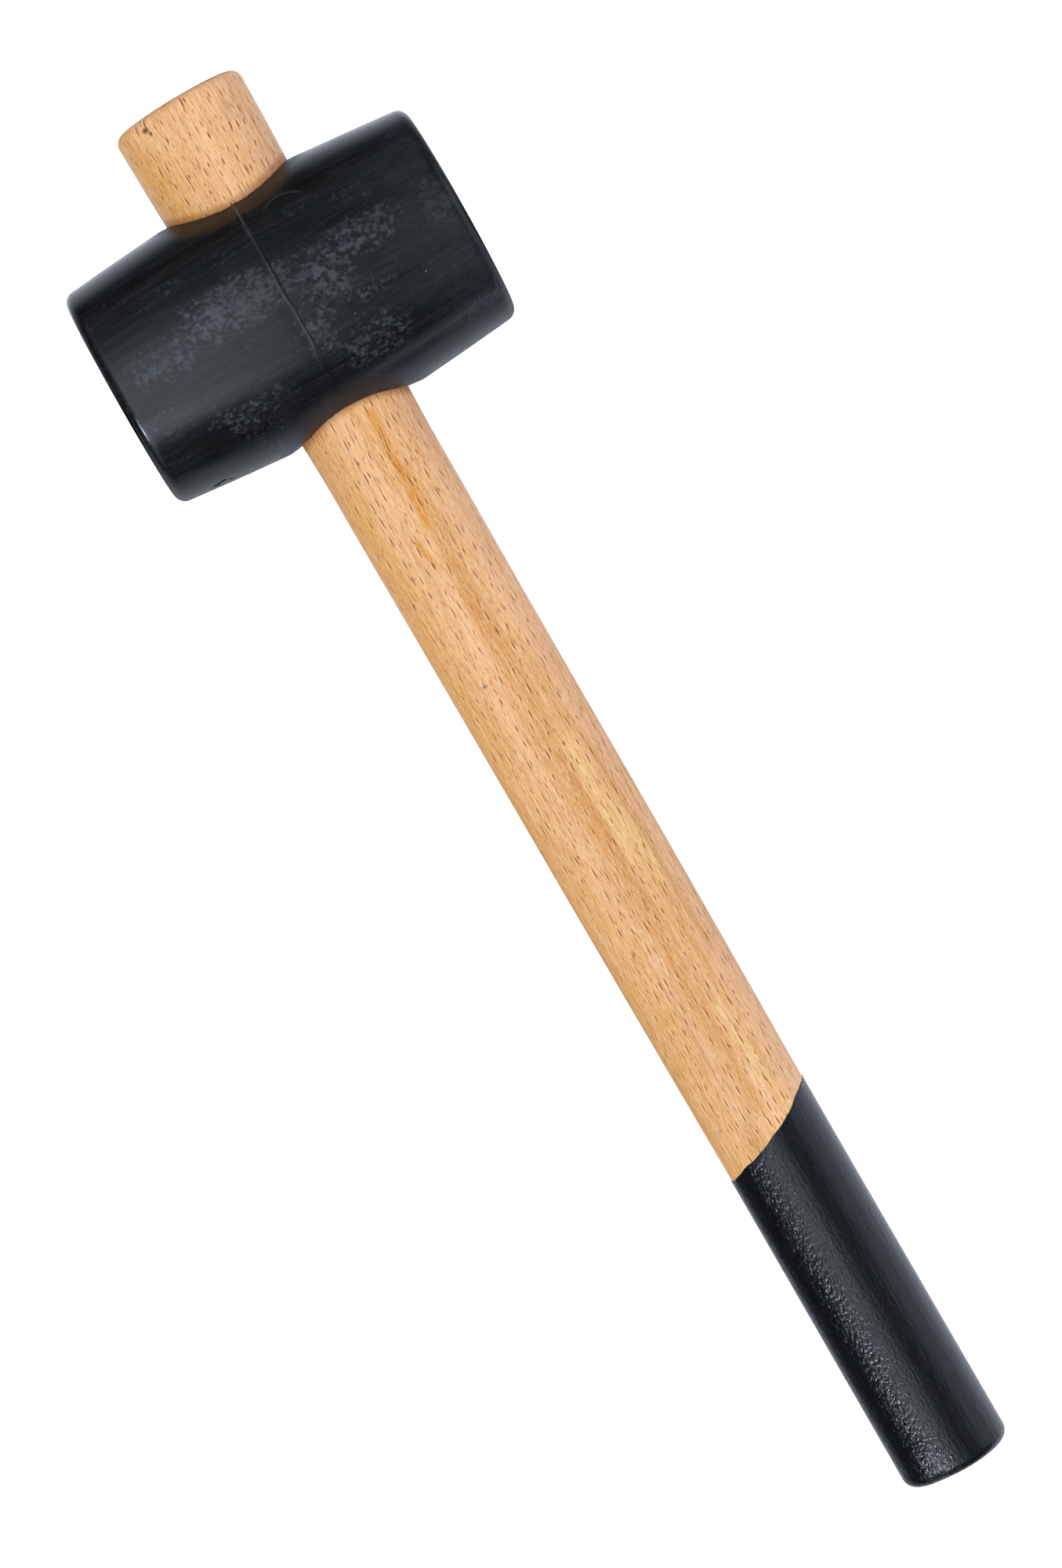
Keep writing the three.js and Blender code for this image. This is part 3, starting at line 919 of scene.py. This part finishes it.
def make_world():
    """The studio: a soft dome, brightest a little to the left of overhead."""
    world = bpy.data.worlds.new("studio")
    bpy.context.scene.world = world
    n = Nodes(world)
    towards = n.add("TexCoord").outputs["Generated"]
    across, along, _ = n.add("SeparateXYZ", {0: towards}).outputs

    def dome(value, stops):
        """The brightness that the stops give for a lean."""
        share = n.add("MapRange", {"Value": value, 1: -1.0, 2: 1.0}).outputs[0]
        node = n.add("ValToRGB", {0: share})
        node.color_ramp.interpolation = "CARDINAL"
        elements = node.color_ramp.elements
        while len(elements) < len(stops):
            elements.new(0.5)
        for element, (lean, brightness) in zip(elements, stops):
            element.position = (lean + 1) / 2
            element.color = (brightness, brightness, brightness, 1)
        return node.outputs[0]

    def patch(centre, radii, change):
        """A factor that brightens or dims a round patch of the dome."""
        away = n.vector("SUBTRACT", towards, (*centre, 0))
        away = n.vector("LENGTH", n.vector("MULTIPLY", away, (1 / radii[0], 1 / radii[1], 0)))
        return n.rise(away, 1.0, 0.3, (1.0, 1.0 + change))

    shape = n.times(dome(across, DOME_ACROSS), dome(along, DOME_ALONG))
    for place in DOME_PATCHES:
        shape = n.times(shape, patch(*place))
    room = n.add("Background", {"Strength": n.times(shape, DOME_PEAK)}).outputs[0]
    backdrop = n.add("Background", {"Strength": BACKDROP}).outputs[0]
    is_camera = n.add("LightPath").outputs["Is Camera Ray"]
    mixed = n.add("MixShader", {0: is_camera, 1: room, 2: backdrop}).outputs[0]
    n.add("OutputWorld", {"Surface": mixed})


def softbox(name, place, target, size, radiance, mirrored=True, diffuse=True):
    """A rectangular light that the camera doesn't see, turned towards the target.

    mirrored says whether it shows in reflections, and diffuse whether it lights matt surfaces.
    """
    light = bpy.data.lights.new(name, "AREA")
    light.shape = "RECTANGLE"
    light.size, light.size_y = size
    light.energy = radiance * math.pi * size[0] * size[1]
    lamp = bpy.data.objects.new(name, light)
    bpy.context.scene.collection.objects.link(lamp)
    lamp.location = place
    lamp.rotation_euler = (Vector(place) - Vector(target)).to_track_quat("Z", "Y").to_euler()
    lamp.visible_camera = False
    lamp.visible_glossy = mirrored
    lamp.visible_diffuse = diffuse


def make_lights():
    """Two that only show in reflections, and two broad ones that only light matt surfaces."""
    softbox("glint", (-1.37, -0.8, 1.17), (0, -0.15, 0), (0.05, 0.36), 90, diffuse=False)
    softbox("window", (-1.34, -1.12, 1.07), (0, -0.17, 0), (0.18, 0.2), 130, diffuse=False)
    softbox("left_fill", (-1.2, 0.1, 1.0), (0, 0, 0), (0.9, 0.9), 2.2, mirrored=False)
    softbox("right_fill", (1.3, 0.1, 0.8), (0, 0, 0), (0.9, 0.9), 2.9, mirrored=False)


def make_camera():
    """Straight down on the whole tool, with the grip towards the lower right."""
    distance_m = 1.18
    centre_m = (-0.0074, 0.0054)
    turn = math.radians(-30.03)
    view_length_m = 0.3623  # what the picture's long side spans at the height of the head's axis
    data = bpy.data.cameras.new("camera")
    data.sensor_width = 36
    data.lens = distance_m / view_length_m * data.sensor_width
    camera = bpy.data.objects.new("camera", data)
    bpy.context.scene.collection.objects.link(camera)
    camera.location = (*centre_m, head_centre_m.z + distance_m)
    camera.rotation_euler = (0, 0, turn)
    bpy.context.scene.camera = camera


# ---------------------------------------------------------------- the scene

make_camera()
make_floor()
make_world()
make_lights()
bpy.context.scene.view_settings.view_transform = "Standard"

add_piece("rubber_head_moulded", head_mesh(), rubber_material(), "rubber_head")
add_piece("beech_handle_turned", handle_mesh(), beech_material(), "beech_handle")
add_piece("grip_lacquer_film", film_mesh(), lacquer_material(), "grip_lacquer")
